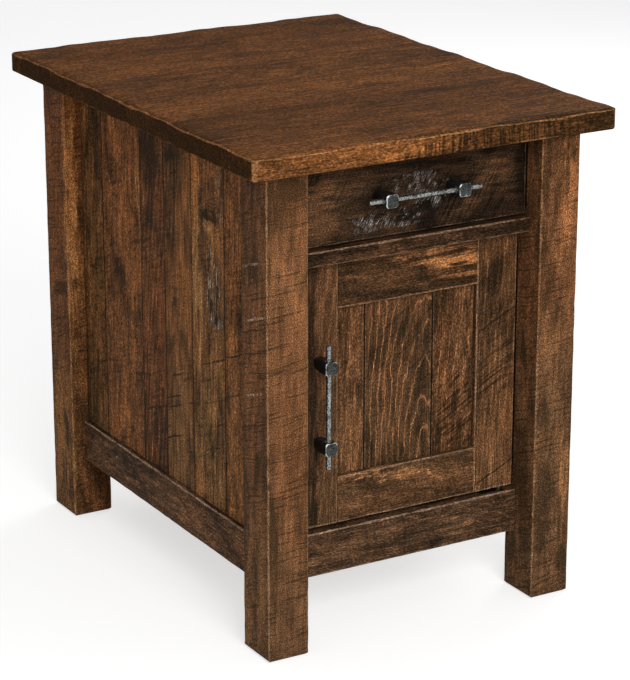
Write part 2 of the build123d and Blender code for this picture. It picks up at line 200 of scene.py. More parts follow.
# Noise that is alike in all directions: its scale and detail
speckles = {
    "arris": (60.0, 4.0),
    "knot": (70.0, 3.0),
    "kerf": (45.0, 3.0),
    "torn": (110.0, 3.0),
    "score": (260.0, 3.0),
    "iron_grit": (620.0, 2.0),
    "iron_patina": (120.0, 3.0),
    "steel_smudge": (35.0, 3.0),
    "plastic_grain": (1600.0, 2.0),
    "plastic_cloud": (60.0, 2.0),
}


class Surface(Tree):
    """The node tree of one material, with places in the frame of the solids."""

    def __init__(self, name):
        self.material = bpy.data.materials.new(name)
        super().__init__(self.material)
        self.shader = self.tree.nodes["Principled BSDF"]
        coordinates = self.add("TexCoord").outputs
        self.place = coordinates["Object"]
        self.normal = coordinates["Normal"]

    def speckle(self, kind):
        scale, detail = speckles[kind]
        return self.noise(self.scaled(self.place, scale), detail)

    def bareness(self):
        """The share of bare surface that a mesh keeps at its vertices."""
        return self.add("Attribute", attribute_name="bare").outputs["Fac"]

    def finish(self, color, roughness, normal):
        self.fill(self.shader, **{"Base Color": color, "Roughness": roughness, "Normal": normal})
        return self.material


# Colours of the wood: stains in sRGB, and factors on their channels for tones, wear, marks and painted
# shade
stains = {
    "top": (94, 61, 34),
    "leg": (112, 76, 49),
    "rail": (85, 59, 40),
    "plank": (108, 72, 44),
    "door": (95, 65, 42),
    "drawer": (53, 38, 26),
    "clear": (206, 168, 120),
}
tone_factors = {
    0.10: (0.50, 0.52, 0.50),
    0.34: (0.80, 0.80, 0.79),
    0.50: (1.0, 1.0, 1.0),
    0.64: (1.17, 1.16, 1.15),
    0.90: (1.50, 1.47, 1.42),
}
wear_factors = (1.55, 1.75, 2.05)
# Near-black of the seams: dark joint lines with painted shade in the grooves between boards
seam_shade_factors = (0.30, 0.30, 0.29)
# Near-black of the painted shade in the gaps beside the right leg
painted_gap_shade_factors = (0.18, 0.18, 0.18)
pale_factors = {"tan": (1.50, 1.62, 1.62), "honey": (1.62, 1.58, 1.48)}
olive_cast = (0.93, 1.01, 1.06, 1.0)
russet_cast = (1.04, 0.98, 0.93, 1.0)
silver = srgb(170, 152, 132)
# Grey of the painted glints on torn grain
painted_glint_grey = srgb(150, 142, 136)

# Patterns drawn out along the grain: scale along and across it, shift, detail, roughness, distortion
figures = {
    "broad": (2.5, 10.0, 7.0, 2.0, 0.5, 0.4),
    "cloud": (14.0, 44.0, 8.0, 5.0, 0.6, 0.5),
    "pool": (8.0, 22.0, 9.0, 4.0, 0.5, 1.0),
    "streak": (5.0, 150.0, 2.0, 3.0, 0.75),
    "fibre": (30.0, 900.0, 3.0, 2.0),
    "speck": (300.0, 850.0, 5.0, 3.0, 0.6),
    "ring": (7.0, 18.0, 1.0, 3.0),
    "fine_ring": (40.0, 90.0, 13.0, 3.0),
    "line_fade": (9.0, 22.0, 11.0, 2.0),
    "stroke_warp": (5.0, 9.0, 4.0, 2.0),
    "stroke_patch": (10.0, 24.0, 6.0, 2.0),
    "mark_edge": (22.0, 120.0, 12.0, 3.0),
    "sliver": (45.0, 430.0, 15.0, 2.0),
    "drift": (3.0, 8.0, 14.0, 2.0),
}
figure_seed_steps = (3.7, 5.1, 2.3)
grain_order = {"x": (0, 1, 2), "y": (1, 0, 2), "z": (2, 0, 1)}

# Saw strokes: scale along and across the board, and the noise between which a stroke sets in
fine_strokes = (420.0, 6.0, 0.50, 0.66)
sawn_strokes = (260.0, 14.0, 0.46, 0.60)
torn_strokes = (1150.0, 60.0, 0.48, 0.66)
stroke_seed_steps = (1.9, 0.7)
kerf_half_width = 1.6 * MM
score_half_width = 2.0 * MM

# How far each pattern moves a board's tone, where 0.5 is the stain as it is
middle_tone = 0.5
broad_swing = 0.8
cloud_swing = 1.0
pool_shift = -0.26
cut_shift = -0.32
end_shift = -0.22
joint_shift = -0.2
knot_ring_swing = 0.22
knot_heart_drop = 0.45
mark_shifts = {"dark": -0.34, "sawn": -0.40, "torn": -0.25, "split": -0.25, "amber": 0.30, "kerf": -0.45}

# Finer points of the wood
fine_ring_share = 0.35
line_sharpness = 40.0
knot_ring_pace = 9.0
core_share = 0.4
arris_reach = 6.0 * MM
arris_setback = -0.4 * MM
seam_core_share = 0.6
soil_and_shade_share = 0.5
drift_climb = 0.7
drift_start = -0.21
cut_relief = -1.2
plain_roughness = 0.58


def stained(stain, factors, contrast=1.0):
    """A stain made darker, lighter or warmer by a factor for each channel."""
    return srgb(*(value * factor ** contrast for value, factor in zip(stain, factors)))


# Wood
class Wood(Surface):
    """One rough-sawn board, with coordinates along and across its grain."""

    def __init__(self, name, low, high, grain, seed, slope):
        super().__init__(name)
        self.low = low
        self.high = high
        self.seed = seed
        self.axes = self.separate(self.place)
        order = grain_order[grain]
        middle = (low + high) / 2
        along, across, deep = (self.math("SUBTRACT", self.axes[axis], middle[axis]) for axis in order)
        self.along = along
        self.grain = self.combine(along, across, deep)
        facing = self.separate(self.vector("ABSOLUTE", self.normal))
        self.end = self.rise(facing[order[0]], low=0.7, high=0.9)
        self.saw_way = Vector((0.0, 0.0, 0.0))
        for axis, share in zip(order, (1.0, *slope)):
            self.saw_way[axis] = share
        warp = self.swing(self.figure("stroke_warp"), 0.02)
        run = self.vector("DOT_PRODUCT", self.grain, (1.0, *slope))
        self.stroke_run = self.total(run, warp)
        self.stroke_way = self.vector("DOT_PRODUCT", self.grain, (-slope[0] - slope[1], 1.0, 1.0))
        self.cloud = self.figure("cloud")
        self.streak = self.figure("streak")

    def figure(self, kind, scales=None):
        """Noise drawn out along the grain, at its own scales where they are given."""
        long_scale, cross_scale, shift, *settings = figures[kind]
        if scales:
            long_scale, cross_scale = scales
        scale = (long_scale, cross_scale, cross_scale)
        first, second, third = (self.seed * step for step in figure_seed_steps)
        offset = (first + shift, second - shift, third)
        return self.noise(self.vector("MULTIPLY_ADD", self.grain, scale, offset), *settings)

    def growth(self, pith, tilt, spacing, wobble):
        """Waves round a pith that leans away along the board, from 0 to 1."""
        warp = self.total(
            self.swing(self.figure("ring"), wobble),
            self.swing(self.figure("fine_ring"), fine_ring_share * wobble),
        )
        lean = self.combine(0.0, -pith[0], self.math("MULTIPLY_ADD", self.along, tilt, pith[1]))
        arms = self.vector("MULTIPLY", self.vector("ADD", self.grain, lean), (0.0, 1.0, 1.0))
        radius = self.total(self.vector("LENGTH", arms), warp)
        wave = self.math("SINE", self.times(radius, 2 * math.pi / spacing))
        return self.math("MULTIPLY_ADD", wave, 0.5, 0.5)

    def strokes(self, density, length, low, high):
        """Saw strokes of a limited length across the board."""
        run_offset, way_offset = (self.seed * step for step in stroke_seed_steps)
        line = self.combine(
            self.math("MULTIPLY_ADD", self.stroke_run, density, run_offset),
            self.math("MULTIPLY_ADD", self.stroke_way, length, way_offset),
            0.0,
        )
        return self.rise(self.noise(line, detail=1.0), low, high)

    def sawing(self, stroke, fuzz, bald):
        """Coarse and fine saw strokes that come and go over the board."""
        fine = self.times(self.strokes(*fine_strokes), fuzz)
        patch = self.rise(self.figure("stroke_patch"), *bald)
        return self.times(self.math("MAXIMUM", self.strokes(*stroke), fine), patch)

    def rim(self):
        """Distance to the nearest arris of the board."""
        inward = self.vector(
            "MINIMUM",
            self.vector("SUBTRACT", self.place, self.low),
            self.vector("SUBTRACT", self.high, self.place),
        )
        a, b, c = self.separate(inward)
        smaller = self.math("MINIMUM", a, b)
        larger = self.math("MAXIMUM", a, b)
        return self.math("MAXIMUM", smaller, self.math("MINIMUM", larger, c))

    def arris(self, rim):
        """1 on the arrises, with a ragged inner edge up to 6 mm in."""
        reach = self.math("MULTIPLY_ADD", self.speckle("arris"), arris_reach, arris_setback)
        return self.fall(rim, self.times(reach, core_share), reach)

    def offset_from(self, place, radii):
        """Where a point lies from a place, in units of these radii."""
        return self.vector("DIVIDE", self.vector("SUBTRACT", self.place, place), radii)

    def ragged_distance(self, place, radii, ragged, amount):
        """How far a point lies from a place, in units of these radii, made uneven by a noise."""
        distance = self.vector("LENGTH", self.offset_from(place, radii))
        return self.total(distance, self.swing(ragged, amount))

    def knot(self, place, radii):
        """A dark heart with rings round it that fade out at three radii."""
        distance = self.ragged_distance(place, radii, self.speckle("knot"), 2.2)
        ring = self.math("SINE", self.times(distance, knot_ring_pace))
        rings = self.times(ring, self.fall(distance, low=1.0, high=3.2), knot_ring_swing)
        heart = self.times(self.fall(distance, low=0.6, high=1.3), knot_heart_drop)
        return self.math("SUBTRACT", rings, heart)

    def kerf(self, place, half_width):
        """1 on the line that a saw tooth left through a place, with a slight wander."""
        away = self.vector("SUBTRACT", self.place, place)
        across = self.vector("DOT_PRODUCT", away, self.saw_way)
        wander = self.swing(self.speckle("kerf"), 6 * MM)
        distance = self.math("ABSOLUTE", self.total(across, wander))
        return self.fall(distance, core_share * half_width, half_width)

    def within(self, place, halves):
        """1 inside a box round a place, with a narrow soft edge."""
        a, b, c = self.separate(self.vector("ABSOLUTE", self.offset_from(place, halves)))
        return self.fall(self.math("MAXIMUM", a, self.math("MAXIMUM", b, c)), low=0.8, high=1.0)

    def near(self, place, radii):
        """1 at a place on the board, fading raggedly to 0 at these radii."""
        distance = self.ragged_distance(place, radii, self.figure("mark_edge"), 1.8)
        return self.fall(distance, low=0.45, high=1.0)

    def joint_tones(self, amount, joints):
        """The tone with a dark line at each glued joint, and a step from board to board."""
        for joint, step in joints:
            past = self.math("SUBTRACT", self.axes[1], joint)
            gap = self.fall(self.math("ABSOLUTE", past), low=0.2 * MM, high=1.6 * MM)
            board = self.rise(past, low=-0.4 * MM, high=0.4 * MM)
            amount = self.total(amount, self.times(gap, joint_shift), self.times(board, step))
        return amount

    def mark_tones(self, amount, marks):
        """The tone with the marks that make it darker or lighter."""
        for kind, place, radii, strength in marks:
            if kind == "knot":
                amount = self.total(amount, self.times(self.knot(place, radii), strength))
            elif kind in mark_shifts:
                share = self.near(place, radii)
                if kind == "sawn":
                    share = self.times(share, self.strokes(*sawn_strokes))
                elif kind == "kerf":
                    share = self.times(share, self.kerf(place, kerf_half_width))
                amount = self.total(amount, self.times(share, mark_shifts[kind] * strength))
        return amount

    def mark_colors(self, color, marks, stain):
        """The colour with the marks that cover it with another."""
        for kind, place, radii, strength in marks:
            # Painted shade: a near-black box where a narrow gap between parts lies in shade
            if kind == "painted_gap_shade":
                shares = (self.within(place, radii),)
                cover = stained(stain, painted_gap_shade_factors)
            # Torn grain: the grey speckle along the strokes is painted glints on the torn fibres
            elif kind == "torn":
                clumps = self.rise(self.speckle("torn"), low=0.40, high=0.58)
                shares = (self.near(place, radii), clumps, self.strokes(*torn_strokes))
                cover = painted_glint_grey
            elif kind == "score":
                broken = self.rise(self.speckle("score"), low=0.42, high=0.62)
                shares = (self.near(place, radii), self.kerf(place, score_half_width), broken)
                cover = silver
            elif kind == "split":
                slivers = self.rise(self.figure("sliver"), low=0.56, high=0.66)
                shares = (self.near(place, radii), slivers)
                cover = silver
            elif kind in pale_factors:
                patches = self.total(self.cloud, self.swing(self.streak, 0.8))
                shares = (self.near(place, radii), self.rise(patches, low=0.38, high=0.56))
                cover = stained(stain, pale_factors[kind])
            else:
                continue
            color = self.mix(self.times(*shares, strength), color, cover)
        return color

    def drift(self):
        """A slow change of cast, from olive low on the table to russet high up."""
        climb = self.math("MULTIPLY_ADD", self.axes[2], drift_climb, drift_start)
        share = self.rise(self.total(self.figure("drift"), climb), low=0.30, high=0.70)
        return self.mix(share, olive_cast, russet_cast)


def wood(
    name, low, high, grain, stain, seed,
    cast=(1.0, 1.0, 1.0),  # factors on the stain's channels
    contrast=1.0,  # spread of the tones
    tone=0.0,  # lighter or darker than the stain
    rings=0.10, lines=0.0, streaks=0.4, blotch=1.0, fibres=0.5, saw=0.4,  # how strongly each shows
    pith=(0.05, 0.06),  # middle of the rings, across and under the board
    tilt=0.1,  # lean of the pith along the board
    spacing=0.008,  # from ring to ring
    wobble=0.02,  # wander of the rings
    fleck=None,  # scales of the specks, if not the usual ones
    grit=270.0,  # contrast of specks and fibres
    stroke=(230.0, 7.0, 0.55, 0.66),  # coarse saw strokes
    fuzz=0.6,  # share of fine saw strokes
    bald=(0.38, 0.60),  # noise between which the strokes set in
    slope=(0.1, 0.1),  # lean of the strokes, across and into the board
    wear=0.9,  # how bare the arrises are
    # the seams are dark joint lines with painted shade in the grooves between boards
    seam=0.0,  # width of dark seams round the board
    sheen=0.02,  # specular level
    joints=(),  # place in Y of each glued joint, and the step in tone after it
    marks=(),  # kind, place, radii and strength of each mark
    hewn=False,  # whether the mesh says where it is bare
):
    """Rough-sawn stained board: growth rings, fibres, blotches, saw strokes, marks and worn arrises."""
    stain = [value * share for value, share in zip(stains[stain], cast)]
    tree = Wood(name, low, high, grain, seed, slope)
    fibre = tree.figure("fibre")
    wave = tree.growth(pith, tilt, spacing, wobble)
    cut = tree.sawing(stroke, fuzz, bald)
    pool = tree.rise(tree.figure("pool"), low=0.52, high=0.70)
    amount = tree.total(
        middle_tone + tone,
        tree.swing(tree.figure("broad"), broad_swing * blotch),
        tree.swing(tree.cloud, cloud_swing * blotch),
        tree.times(pool, pool_shift * blotch),
        tree.swing(tree.streak, streaks),
        tree.swing(wave, rings),
        tree.times(cut, cut_shift * saw),
        tree.times(tree.end, end_shift),
    )
    if lines:
        fade = tree.rise(tree.figure("line_fade"), low=0.30, high=0.55)
        amount = tree.total(amount, tree.times(tree.math("POWER", wave, line_sharpness), fade, lines))
    amount = tree.mark_tones(tree.joint_tones(amount, joints), marks)
    tones = [(place, stained(stain, factors, contrast)) for place, factors in tone_factors.items()]
    color = tree.mark_colors(tree.ramp(amount, tones), marks, stain)

    rim = tree.rim()
    if hewn:
        ragged = tree.total(tree.bareness(), tree.swing(tree.cloud, 1.6))
        bare = tree.rise(ragged, low=0.45, high=0.9)
    else:
        # Darker toward the arrises: soiled stain, and painted shade where boards meet
        soil_and_shade = tree.times(tree.fall(rim, low=2 * MM, high=18 * MM), tree.cloud, soil_and_shade_share)
        darkest = tones[0][1]
        color = tree.mix(soil_and_shade, color, darkest)
        bare = tree.arris(rim)
    color = tree.mix(tree.times(bare, wear), color, stained(stain, wear_factors, contrast))
    # Dark seams round the board: a dark joint line with painted shade in the groove between boards
    if seam:
        gap = tree.fall(rim, seam_core_share * seam, seam)
        color = tree.mix(gap, color, stained(stain, seam_shade_factors))
    color = tree.vector("MULTIPLY", color, tree.drift())
    texture = tree.total(tree.swing(tree.figure("speck", fleck), 1.0), tree.swing(fibre, fibres))
    color = tree.scaled(color, tree.math("POWER", grit, texture))

    relief = tree.total(texture, tree.swing(tree.streak, 0.5), tree.times(cut, saw, cut_relief))
    roughness = tree.total(plain_roughness, tree.swing(fibre, 0.2), tree.swing(tree.cloud, 0.2))
    tree.shader.inputs["Specular IOR Level"].default_value = sheen
    return tree.finish(color, roughness, tree.bump(relief, distance=0.8 * MM, strength=0.7))


# Metal and plastic
worn_iron_and_highlight = srgb(196, 198, 196)
worn_iron_and_highlight_share = 0.85
dent_scale = 330.0
dent_height = 0.8
rolled_scale = 900.0
rolled_grain_scale = 12.0
steel_roughness = 0.34
plastic_roughness = 0.55


def hammered_iron(name, dark, light, gloss):
    """Blackened iron with hammer dents, and bright rims that are worn iron with painted highlights."""
    tree = Surface(name)
    dents = tree.cells(tree.scaled(tree.place, dent_scale))
    grit = tree.speckle("iron_grit")
    patina = tree.speckle("iron_patina")
    color = tree.mottled(dark, light, tree.swing(patina, 0.8), tree.swing(grit, 2.0))
    # Bright rims: worn bare iron, with painted highlights on the edges
    ragged = tree.total(tree.bareness(), tree.swing(grit, 1.2), tree.swing(patina, 1.8))
    worn = tree.rise(ragged, low=0.50, high=0.95)
    color = tree.mix(tree.times(worn, worn_iron_and_highlight_share), color, worn_iron_and_highlight)
    tree.fill(tree.shader, Metallic=0.85)
    roughness = tree.total(gloss, tree.swing(grit, 0.3))
    height = tree.total(tree.times(dents, dent_height), tree.swing(grit, 0.5))
    return tree.finish(color, roughness, tree.bump(height, distance=0.8 * MM, strength=0.7))


def plated_steel(name, grain, dark, light):
    """Rolled sheet with fine lines along one axis."""
    tree = Surface(name)
    scale = [rolled_scale] * 3
    scale["xyz".index(grain)] = rolled_grain_scale
    lines = tree.noise(tree.vector("MULTIPLY", tree.place, scale), detail=2.0)
    smudge = tree.speckle("steel_smudge")
    color = tree.mottled(dark, light, tree.swing(lines, 0.8), tree.swing(smudge, 0.7))
    tree.fill(tree.shader, Metallic=0.9)
    roughness = tree.total(steel_roughness, tree.swing(lines, 0.25), tree.swing(smudge, 0.2))
    return tree.finish(color, roughness, tree.bump(lines, distance=0.2 * MM, strength=0.3))


def moulded_plastic(name, dark, light):
    """Matte moulded plastic with a fine spark-eroded texture."""
    tree = Surface(name)
    grain = tree.speckle("plastic_grain")
    cloud = tree.speckle("plastic_cloud")
    color = tree.mottled(dark, light, tree.swing(grain, 0.5), tree.swing(cloud, 0.6))
    roughness = tree.total(plastic_roughness, tree.swing(grain, 0.2))
    return tree.finish(color, roughness, tree.bump(grain, distance=0.2 * MM, strength=0.4))


# Meshes and objects
def add_object(name, data):
    """A new object in the scene."""
    thing = bpy.data.objects.new(name, data)
    bpy.context.scene.collection.objects.link(thing)
    return thing


def new_piece(name, mesh, node):
    """A visible piece that stands for a solid and moves with it."""
    piece = add_object(name, mesh)
    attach(piece, body_of_node[node])
    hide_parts(node)
    return piece


def shade(mesh, angle):
    """Smooth faces with crisp arrises above an angle in degrees."""
    mesh.shade_smooth()
    mesh.set_sharp_from_angle(angle=math.radians(angle))


def finished_mesh(name, shape, crisp_angle):
    """A shaded mesh from a shape, which ends here."""
    mesh = bpy.data.meshes.new(name)
    shape.to_mesh(mesh)
    shape.free()
    shade(mesh, crisp_angle)
    return mesh


def dress(piece, material):
    """Give a piece one material."""
    piece.data.materials.clear()
    piece.data.materials.append(material)


# Tabletop with its hewn edge, from the same waves as the solid
scallop_wave = 165 * MM
scallop_drop = (0.6 * MM, 3.6 * MM)
scallop_reach = (4.0 * MM, 12.0 * MM)
scallop_reach_lag = 33 * MM
scallop_long_share = 0.3
scallop_short_share = 0.2
scallop_short_ratio = 2.5
scallop_first_phase = 1.76
scallop_phase_step = 1.9
scallop_scoop = 1.25
top_corner_cut = 4 * MM
top_corner_reach = 4.1 * MM
top_corner_wear = 0.9
top_lower_ease = 1.5 * MM
top_lower_wear = 0.6
top_arris_ease = 0.5 * MM
top_wear_reach = 4 * MM
top_mesh_step = 4 * MM
top_weld_distance = 0.01 * MM
top_crisp_angle = 24
hewn_insets = [inset * MM for inset in (0.5, 1.5, 3.0, 4.5, 6.0, 7.5, 9.0, 10.5, 12.0, 14.0)]


def scallop(along, phase):
    """Share of the full hewn depth at one place along an edge."""
    angle = 2 * math.pi * along / scallop_wave + phase
    long_wave = math.sin(angle)
    short_wave = math.sin(scallop_short_ratio * angle)
    return 0.5 + scallop_long_share * long_wave + scallop_short_share * short_wave


def blend_values(limits, share):
    """The value this far from the first limit to the second."""
    return limits[0] + share * (limits[1] - limits[0])


def hewn_level(x, y, low, high):
    """Height of the top's upper face at one place, after the four edges were hewn."""
    edges = ((x, y - low.y), (y, high.x - x), (-x, high.y - y), (-y, x - low.x))
    level = high.z
    for turn, (along, distance) in enumerate(edges):
        phase = scallop_first_phase + scallop_phase_step * turn
        drop = blend_values(scallop_drop, scallop(along, phase))
        reach = blend_values(scallop_reach, scallop(along + scallop_reach_lag, phase))
        if distance < reach:
            level = min(level, high.z - drop * (1 - distance / reach) ** scallop_scoop)
    return level


def top_outline(low, high):
    """Points round the top's edge, closer than the waves, with the corners cut."""
    corners = ((low.x, low.y), (high.x, low.y), (high.x, high.y), (low.x, high.y))
    directions = ((1, 0), (0, 1), (-1, 0), (0, -1))
    points = []
    for corner, following, direction in zip(corners, (*corners[1:], corners[0]), directions):
        direction = Vector(direction)
        start = Vector(corner) + direction * top_corner_cut
        length = (Vector(following) - Vector(corner)).length - 2 * top_corner_cut
        count = round(length / top_mesh_step)
        points += [start + direction * length * step / count for step in range(count + 1)]
    return points


def make_hewn_top(node):
    """The top as closed rings from its underside over the hewn edge to its flat middle."""
    low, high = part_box(node)
    outline = top_outline(low, high)
    shape = bmesh.new()
    bare = shape.verts.layers.float.new("bare")

    def add_ring(inset, rule, wear):
        ring = []
        for point in outline:
            x = min(max(point.x, low.x + inset), high.x - inset)
            y = min(max(point.y, low.y + inset), high.y - inset)
            vert = shape.verts.new((x, y, rule(x, y)))
            to_side = max(min(x - low.x, high.x - x), min(y - low.y, high.y - y))
            vert[bare] = max(wear, top_corner_wear) if to_side < top_corner_reach else wear
            ring.append(vert)
        return ring

    def upper(x, y):
        return hewn_level(x, y, low, high)

    rings = [
        add_ring(top_lower_ease, lambda x, y: low.z, 0.0),
        add_ring(0.0, lambda x, y: low.z + top_lower_ease, top_lower_wear),
        add_ring(0.0, lambda x, y: low.z + 3 * top_lower_ease, 0.0),
        add_ring(0.0, lambda x, y: upper(x, y) - 5 * top_arris_ease, 0.0),
        add_ring(0.0, lambda x, y: upper(x, y) - top_arris_ease, 1.0),
    ]
    for inset in hewn_insets:
        rings.append(add_ring(inset, upper, max(0.0, 1.0 - inset / top_wear_reach)))
    for lower, higher in zip(rings, rings[1:]):
        for index in range(len(outline)):
            after = (index + 1) % len(outline)
            shape.faces.new((lower[index], lower[after], higher[after], higher[index]))
    shape.faces.new(rings[-1])
    shape.faces.new(list(reversed(rings[0])))
    bmesh.ops.remove_doubles(shape, verts=shape.verts, dist=top_weld_distance)
    return new_piece("hewn_" + node, finished_mesh("hewn_" + node, shape, top_crisp_angle), node)


# Boards with worn arrises
weld_distance = 0.001 * MM
flat_angle = math.radians(1)
arris_angle = math.radians(15)
arris_band = 4 * MM
board_step = 9 * MM
board_crisp_angle = 14
arris_seed_steps = (0.37, 0.11, 0.23)
wander_scale = 48.0
wander_middle = 0.35
wander_swing = 0.9
nick_scale = 95.0
nick_level = 0.34
nick_gain = 3.0


def cut_across(shape, axis, place):
    """New vertices where a plane across one axis meets the mesh."""
    normal = Vector((0, 0, 0))
    normal[axis] = 1.0
    parts = list(shape.verts) + list(shape.edges) + list(shape.faces)
    bmesh.ops.bisect_plane(shape, geom=parts, plane_co=normal * place, plane_no=normal)


def arris_depth(place, seed):
    """How deep the arris is worn at one place, from 0 to about 1."""
    offset = Vector([seed * step for step in arris_seed_steps])
    wander = wander_middle + wander_swing * noise.noise((place + offset) * wander_scale)
    nick = max(0.0, noise.noise((place - offset) * nick_scale) - nick_level) * nick_gain
    return max(0.0, wander) + nick


def make_worn_board(node, grain, depth, seed):
    """A copy of a board with arrises that wander and are nicked, as on hand-worked wood."""
    low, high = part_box(node)
    shape = bmesh.new()
    shape.from_mesh(nodes[node].data)
    bmesh.ops.remove_doubles(shape, verts=shape.verts, dist=weld_distance)
    bmesh.ops.dissolve_limit(shape, angle_limit=flat_angle, verts=shape.verts, edges=shape.edges)
    for axis in range(3):
        if axis == "xyz".index(grain):
            count = round((high[axis] - low[axis]) / board_step)
            places = [low[axis] + (high[axis] - low[axis]) * step / count for step in range(1, count)]
        else:
            places = [low[axis] + arris_band, high[axis] - arris_band]
        for place in places:
            cut_across(shape, axis, place)
    shape.normal_update()
    moves = {}
    for vert in shape.verts:
        turns = [edge.calc_face_angle_signed(0.0) for edge in vert.link_edges]
        if max(turns) > arris_angle and min(turns) > -arris_angle:
            moves[vert] = vert.normal * depth * arris_depth(vert.co, seed)
    for vert, move in moves.items():
        vert.co -= move
    return new_piece("worn_" + node, finished_mesh("worn_" + node, shape, board_crisp_angle), node)


# Hammered pulls
hammer_voxel = 0.6 * MM
hammer_smoothing = 0.5
hammer_smooth_rounds = 3
hammer_depth = 0.3 * MM
hammer_scale = 210.0
hammer_dent_radius = 0.75
hammer_crisp_angle = 60
ridge_reach = 1.6 * MM
post_ridge = (0.08 * MM, 0.24 * MM)
bar_ridge = (0.24 * MM, 0.36 * MM)


def ridge_shares(mesh, limits):
    """How far each vertex stands out from the surface round it, as a share of these limits."""
    tree = kdtree.KDTree(len(mesh.vertices))
    for vert in mesh.vertices:
        tree.insert(vert.co, vert.index)
    tree.balance()
    shares = []
    for vert in mesh.vertices:
        near = [place for place, _, _ in tree.find_range(vert.co, ridge_reach)]
        middle = sum(near, Vector()) / len(near)
        stand = (vert.co - middle).dot(vert.normal)
        shares.append(min(max((stand - limits[0]) / (limits[1] - limits[0]), 0.0), 1.0))
    return shares


def make_hammered(node, ridge):
    """A forged copy of an iron piece: corners softened and faces dented by the hammer."""
    rough = add_object("rough_" + node, nodes[node].data.copy())
    remesh = rough.modifiers.new("forge", "REMESH")
    remesh.mode = "VOXEL"
    remesh.voxel_size = hammer_voxel
    smooth = rough.modifiers.new("soften", "SMOOTH")
    smooth.factor = hammer_smoothing
    smooth.iterations = hammer_smooth_rounds
    graph = bpy.context.evaluated_depsgraph_get()
    mesh = bpy.data.meshes.new_from_object(rough.evaluated_get(graph))
    bpy.data.objects.remove(rough)
    bare = mesh.attributes.new("bare", "FLOAT", "POINT")
    bare.data.foreach_set("value", ridge_shares(mesh, ridge))
    normals = [vert.normal.copy() for vert in mesh.vertices]
    for vert, normal in zip(mesh.vertices, normals):
        distances, _ = noise.voronoi(vert.co * hammer_scale)
        dent = max(0.0, 1.0 - distances[0] / hammer_dent_radius) ** 2
        vert.co -= normal * hammer_depth * dent
    mesh.name = "hammered_" + node
    shade(mesh, hammer_crisp_angle)
    return new_piece("hammered_" + node, mesh, node)


# Screws that hold the pulls, with their heads inside the drawer and on the door's back
screw_radius = 4.2 * MM
screw_height = 2.2 * MM
screw_recess_half = 0.6 * MM
screw_recess_reach = 2.6 * MM
screw_recess_depth = 1.3 * MM
screw_rings = 14
screw_sides = 48
screw_crisp_angle = 50


def screw_level(x, z):
    """Height of a cross-head screw's dome above the wood, this far from its middle."""
    out = math.hypot(x, z)
    dome = screw_height * max(0.0, 1.0 - (out / screw_radius) ** 3) ** (1 / 3)
    arm = max(0.0, 1.0 - min(abs(x), abs(z)) / screw_recess_half)
    reach = max(0.0, 1.0 - out / screw_recess_reach)
    return dome - screw_recess_depth * arm * math.sqrt(reach)


def add_screw(name, place, body):
    """A screw head that faces the back of the table and moves with a body."""
    shape = bmesh.new()

    def add_point(x, z):
        return shape.verts.new(place + Vector((x, screw_level(x, z), z)))

    middle = add_point(0.0, 0.0)
    rings = []
    for step in range(1, screw_rings + 1):
        out = screw_radius * step / screw_rings
        angles = [2 * math.pi * side / screw_sides for side in range(screw_sides)]
        rings.append([add_point(out * math.cos(angle), out * math.sin(angle)) for angle in angles])
    for side in range(screw_sides):
        after = (side + 1) % screw_sides
        shape.faces.new((middle, rings[0][side], rings[0][after]))
        for inner, outer in zip(rings, rings[1:]):
            shape.faces.new((inner[side], outer[side], outer[after], inner[after]))
    shape.faces.new(rings[-1])
    bmesh.ops.recalc_face_normals(shape, faces=shape.faces)
    screw = add_object(name, finished_mesh(name, shape, screw_crisp_angle))
    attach(screw, body)
    return screw


# Marks on the boards
def side_marks(face, depth, *rows):
    """Marks on a face across X: kind, middle in Y and Z, radii in Y and Z, and strength."""
    return tuple(
        (kind, (face, y, z), (depth, wide, tall), strength) for kind, y, z, wide, tall, strength in rows
    )


def front_marks(face, depth, *rows):
    """Marks on a face across Y: kind, middle in X and Z, radii in X and Z, and strength."""
    return tuple(
        (kind, (x, face, z), (wide, depth, tall), strength) for kind, x, z, wide, tall, strength in rows
    )


# Faces that the marks are on
leg_front = -0.3015
leg_left = -0.2185
right_leg_inside = 0.1625
back_leg_inside = 0.2395
divider_front = -0.2775
plank_left = -0.1945
top_left = -0.25
top_front = -0.33
top_level = 0.62
drawer_face = -0.2705
door_face = -0.2555
panel_face = -0.2475

# Which wood each board is cut from, in an order that sets the seeds of their patterns
inside_wood = dict(stain="clear", contrast=0.5, lines=0.2, grit=8.0, saw=0.1)
leg_wood = dict(
    grain="z", stain="leg", contrast=0.75, tone=-0.04, streaks=0.2, blotch=1.25, fibres=0.15,
    fleck=(650.0, 850.0), grit=640.0, saw=1.0, stroke=(340.0, 18.0, 0.57, 0.68), fuzz=0.25,
    bald=(0.10, 0.55), slope=(-0.12, 0.35), wear=0.7,
)
looks = {}
for corner in ("front_left", "front_right", "back_left", "back_right"):
    looks[f"leg_{corner}"] = dict(leg_wood)
looks["leg_front_left"].update(wear=0.5, marks=side_marks(
    leg_left, 0.01,
    ("score", -0.26, 0.49, 0.036, 0.05, 0.8),
    ("score", -0.262, 0.424, 0.036, 0.05, 0.8),
    ("score", -0.262, 0.331, 0.036, 0.05, 0.8),
    ("kerf", -0.265, 0.411, 0.045, 0.05, 1.0),
    ("kerf", -0.265, 0.383, 0.045, 0.05, 1.0),
    ("kerf", -0.265, 0.294, 0.045, 0.05, 0.9),
    ("dark", -0.268, 0.54, 0.05, 0.1, 0.8),
    ("tan", -0.27, 0.08, 0.05, 0.12, 0.15),
) + front_marks(
    leg_front, 0.02,
    ("dark", -0.192, 0.585, 0.04, 0.014, 1.0),
    ("dark", -0.205, 0.185, 0.018, 0.06, 0.6),
) + front_marks(
    leg_front, 0.01,
    ("dark", -0.19, 0.55, 0.05, 0.07, 0.4),
))
